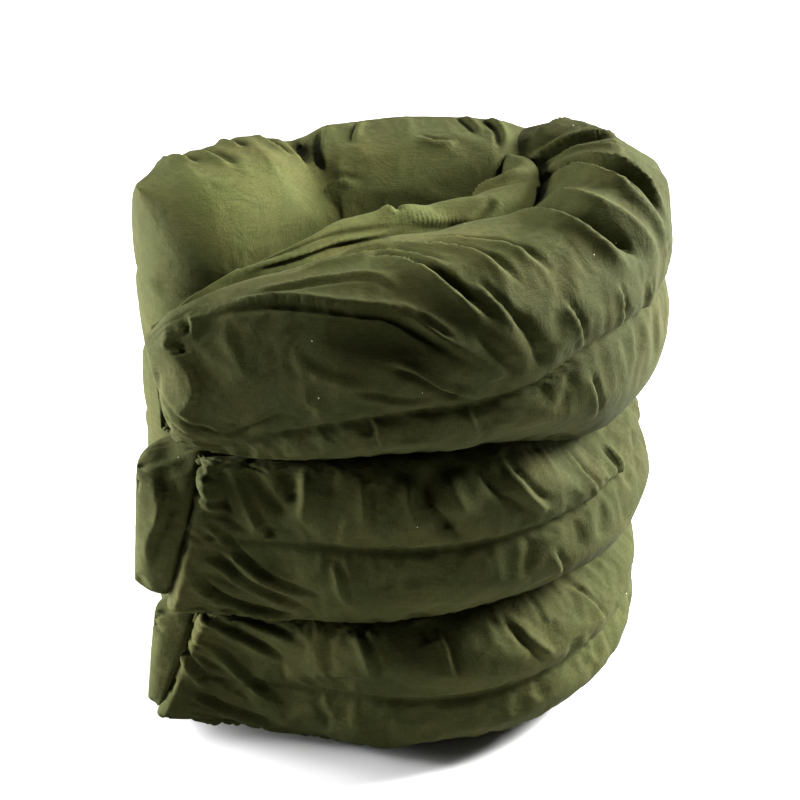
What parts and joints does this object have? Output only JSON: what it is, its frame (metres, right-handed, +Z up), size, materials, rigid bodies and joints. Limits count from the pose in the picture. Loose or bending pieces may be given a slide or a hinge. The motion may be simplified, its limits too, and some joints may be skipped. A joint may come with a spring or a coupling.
{
  "type": "infrared sauna blanket",
  "caption": "Thick quilted olive cotton heating wrap, folded double, curled into a C and standing on its long edge, with padded rows and a slit between the two leaves.",
  "frame": {"origin": "bottom centre of the object's bounding box, on the surface it stands on", "axes": "+Z up; +X to the right seen from the front; the closed front of the C faces -Y and its open mouth is at the front left"},
  "size_m": [0.5128, 0.456, 0.5],
  "materials": {
    "olive_cotton": "matte plain-weave cotton",
    "dark_lining": "matte coated lining",
    "film": "satin polyester film over carbon ink",
    "ribbon": "flat insulated ribbon",
    "hook_and_loop": "matte nylon pile",
    "label": "plain woven tape, blank",
    "sensor_case": "matte moulded",
    "inlet_plastic": "fine moulded texture",
    "contact_brass": "satin"
  },
  "bodies": {
    "back_fold": {"back_inner_heating_film": "film", "back_inner_lining": "dark_lining", "back_inner_row_bottom": "olive_cotton", "back_inner_row_middle": "olive_cotton", "back_inner_row_top": "olive_cotton", "back_outer_heating_film": "film", "back_outer_lining": "dark_lining", "back_outer_row_bottom": "olive_cotton", "back_outer_row_middle": "olive_cotton", "back_outer_row_top": "olive_cotton", "back_outer_wiring_ribbon": "ribbon", "back_thermal_cutouts": "sensor_case"},
    "left_wing": {"left_folded_heating_film": "film", "left_folded_lining": "dark_lining", "left_folded_row_bottom": "olive_cotton", "left_folded_row_middle": "olive_cotton", "left_folded_row_top": "olive_cotton", "left_folded_wiring_ribbon": "ribbon"},
    "front_wing": {"blank_label": "label", "front_inner_heating_film": "film", "front_inner_lining": "dark_lining", "front_inner_row_bottom": "olive_cotton", "front_inner_row_middle": "olive_cotton", "front_inner_row_top": "olive_cotton", "front_outer_heating_film": "film", "front_outer_lining": "dark_lining", "front_outer_row_bottom": "olive_cotton", "front_outer_row_middle": "olive_cotton", "front_outer_row_top": "olive_cotton", "front_outer_wiring_ribbon": "ribbon", "front_thermal_cutouts": "sensor_case", "hook_strip": "hook_and_loop", "loop_strip": "hook_and_loop", "power_inlet_contacts": "contact_brass", "power_inlet_housing": "inlet_plastic", "temperature_sensor": "sensor_case"}
  },
  "joints": [
    {"name": "left_crease", "type": "hinge", "parent": "back_fold", "child": "left_wing", "pos_m": [-0.10216, 0.22796, 0], "axis": [0, 0, -1], "range_deg": [0, 30]},
    {"name": "right_crease", "type": "hinge", "parent": "back_fold", "child": "front_wing", "pos_m": [0.15251, 0.22796, 0], "axis": [0, 0, 1], "range_deg": [0, 40]}
  ]
}
